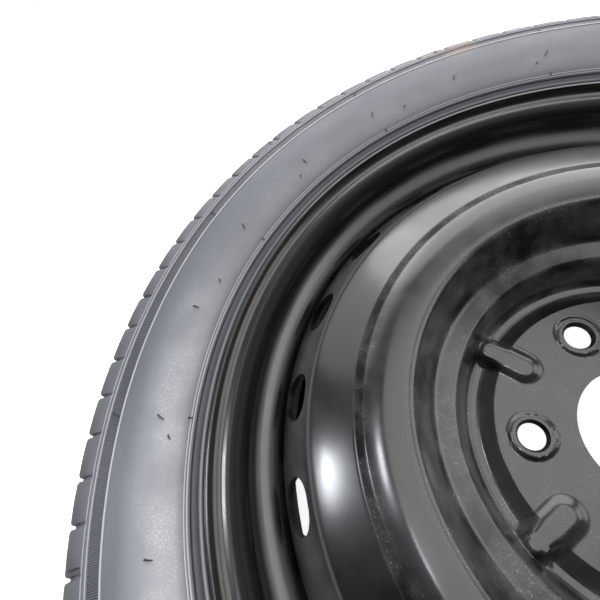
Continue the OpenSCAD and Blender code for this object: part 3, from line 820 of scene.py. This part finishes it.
for outer, inner, first, gap in whisker_rings:
    for k in range(round(360 / gap)):
        for face in (1, -1):
            shifted = random.uniform(-0.25, 0.25) + (0 if face > 0 else gap / 2)
            a = math.radians(first + k * gap + shifted)
            lean = a + math.radians(random.uniform(-0.1, 0.6))
            root = Vector((outer * math.cos(a), outer * math.sin(a), min(wall_z(outer), top)))
            tip_height = min(wall_z(inner) + 0.7, top)
            tip = Vector((inner * math.cos(lean), inner * math.sin(lean), tip_height))
            along = (tip - root).normalized()
            aside = Vector((0, 0, 1)).cross(along).normalized()
            turned = Matrix((along * (tip - root).length, aside, along.cross(aside)))
            turned = turned.transposed().to_4x4()
            one = hair.copy()
            one.data = hair.data.copy()
            one.data.transform(Matrix.Scale(MM, 4) @ Matrix.Translation(root) @ turned)
            if face < 0:
                one.data.transform(Matrix.Scale(-1, 4, (0, 0, 1)))
                one.data.flip_normals()
            bpy.context.collection.objects.link(one)
            hairs.append(one)
bpy.data.objects.remove(hair)
chosen(*hairs[1:], hairs[0])
bpy.ops.object.join()
whiskers = bpy.context.object
whiskers.name = "whiskers"
dark_rubber, shader = material("whisker_rubber")
place = add(dark_rubber, "TexCoord", {}).outputs["Object"]
hair_tone = blended(dark_rubber, noise_field(dark_rubber, place, 3), "#17191d", "#2c2f35")
joined(dark_rubber, hair_tone, shader, "Base Color")
shader.inputs["Roughness"].default_value = 0.5
paint(whiskers, dark_rubber)
smoothed(whiskers, 60)
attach(whiskers, "wheel")

# Valve: a snap-in rubber body round a turned brass stem, a small brass core with its spring, and a
# moulded cap. Rubber is matt, brass turned, springs drawn bright. They keep the solids' own meshes.
def mottled(name, low, high, grain, rough, metal=0.0):
    """A plain finish between two close tones, with a faint grain."""
    made, shader = material(name)
    place = add(made, "TexCoord", {}).outputs["Object"]
    field = noise_field(made, place, grain)
    joined(made, blended(made, spread(made, field, 0.35, 0.65), low, high), shader, "Base Color")
    joined(made, spread(made, field, 0.3, 0.7, rough - 0.05, rough + 0.08), shader, "Roughness")
    bump = add(made, "Bump", {"Height": field, "Strength": 0.15, "Distance": 0.05 * MM}).outputs[0]
    joined(made, bump, shader, "Normal")
    shader.inputs["Metallic"].default_value = metal
    return made


valve_rubber = mottled("valve_rubber", "#1b1c1e", "#26272a", 0.8, 0.6)
brass = mottled("turned_brass", "#b08a3e", "#c29c52", 0.4, 0.28, 1.0)
spring_steel = mottled("spring_steel", "#9c9da0", "#b4b5b8", 0.3, 0.25, 1.0)
red_seal = mottled("red_seal", "#7c1f18", "#8e2a20", 0.4, 0.55)
cap_plastic = mottled("cap_plastic", "#202123", "#2a2b2e", 0.5, 0.42)
for finish, nodes in (
    (valve_rubber, ("valve_body", "core_seal", "cap_gasket")),
    (brass, ("core_plug", "core_barrel", "core_cup")),
    (spring_steel, ("core_spring", "core_pin")),
    (red_seal, ("core_gasket",)),
    (cap_plastic, ("valve_cap",)),
):
    for name in nodes:
        paint(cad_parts[name], finish)

# Valve stem: turned from brass rod, with the cap's thread at its mouth and a bore for the core.
stem_line = [(1.95, -7.9), (3.0, -7.9), (3.0, 12.55), (3.35, 12.55)]
thread_turns, thread_pitch = 11, 0.79
thread_r, thread_root_r = 3.85, 3.42
for k in range(thread_turns):
    up = k * thread_pitch
    stem_line += [(thread_r, 13.15 + up), (thread_r, 13.32 + up), (thread_root_r, 13.6 + up)]
stem_line += [(3.4, 21.9), (3.25, 22), (2.85, 22), (2.65, 21.7), (2.65, 14), (1.95, 12)]
stem = spun("stem", stem_line, 64, closed=True)
outward(stem)
at_valve(stem.data)
paint(stem, brass)
smoothed(stem, 30)
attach(stem, "wheel")
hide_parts("valve_stem")

# Floor: a white sheet that keeps the wheel's shadow. The camera sees it as white, apart from a
# painted shadow: a dark spot under one vent, which shows dark in the photograph.
floor_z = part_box("tyre")[0].z
floor_size = 1.3
shade_at = (-0.217, 0.028, 0)
shade_r, shade_end_r = 0.030, 0.034
floor_glow = 0.9
bpy.ops.mesh.primitive_plane_add(size=floor_size, location=(0, 0, floor_z))
floor = bpy.context.object
floor.name = "floor"
white, shader = material("white_floor")
shader.inputs["Roughness"].default_value = 0.9
shader.inputs["Emission Color"].default_value = (1, 1, 1, 1)
seen = add(white, "LightPath", {}).outputs["Is Camera Ray"]
place = add(white, "TexCoord", {}).outputs["Object"]
# Painted shadow: round the spot the floor's colour goes dark and its glow is turned off.
away = add(white, "VectorMath", {0: place, 1: shade_at}, operation="DISTANCE").outputs["Value"]
lit = spread(white, away, shade_r, shade_end_r)
joined(white, product(white, seen, lit, floor_glow), shader, "Emission Strength")
joined(white, blended(white, lit, "#06070a", "#f4f4f4"), shader, "Base Color")
paint(floor, white)

# World: white behind the wheel for the camera, and a dim even room for all other light.
world = bpy.data.worlds.new("studio")
bpy.context.scene.world = world
world.use_nodes = True
background = world.node_tree.nodes["Background"]
background.inputs["Color"].default_value = (1, 1, 1, 1)
room_level = 0.04
seen = add(world, "LightPath", {}).outputs["Is Camera Ray"]
level = spread(world, seen, 0, 1, room_level, 1)
world.node_tree.links.new(level, background.inputs["Strength"])


lamp_distance = 2.2


def softbox(name, azimuth, elevation, size, radiance, colour):
    """A round soft light that looks at the wheel's centre."""
    a, e = math.radians(azimuth), math.radians(elevation)
    towards = Vector((math.cos(a) * math.cos(e), math.sin(a) * math.cos(e), math.sin(e)))
    bpy.ops.object.light_add(type="AREA", location=towards * lamp_distance)
    lamp = bpy.context.object
    lamp.name = name
    lamp.rotation_euler = towards.to_track_quat("Z", "Y").to_euler()
    lamp.data.shape = "ELLIPSE"
    lamp.data.size, lamp.data.size_y = size
    area = math.pi / 4 * size[0] * size[1]
    lamp.data.energy = radiance * math.pi * area
    lamp.data.color = colour


# Lights: a wide window on the far side that fades to the left, a warm ceiling and a tall warm fill at
# the right, a narrow bright gap at the left and two small lamps overhead.
warm, plain, cool = (1, 0.98, 0.94), (1, 1, 1), (0.92, 0.95, 1)
softbox("window", 88, 24, (3.6, 2.6), 3.4, plain)
softbox("window_side", 136, 24, (1.9, 2.3), 1.5, plain)
softbox("ceiling", 38, 76, (1.5, 1.5), 2.7, warm)
softbox("right_fill", 14, 24, (1.3, 2.4), 2.6, warm)
softbox("left_gap", 189, 27.5, (0.5, 0.2), 50, cool)
softbox("small_lamp", 180, 66, (0.34, 0.2), 48, cool)
softbox("top_lamp", 240, 82, (0.1, 0.1), 110, cool)
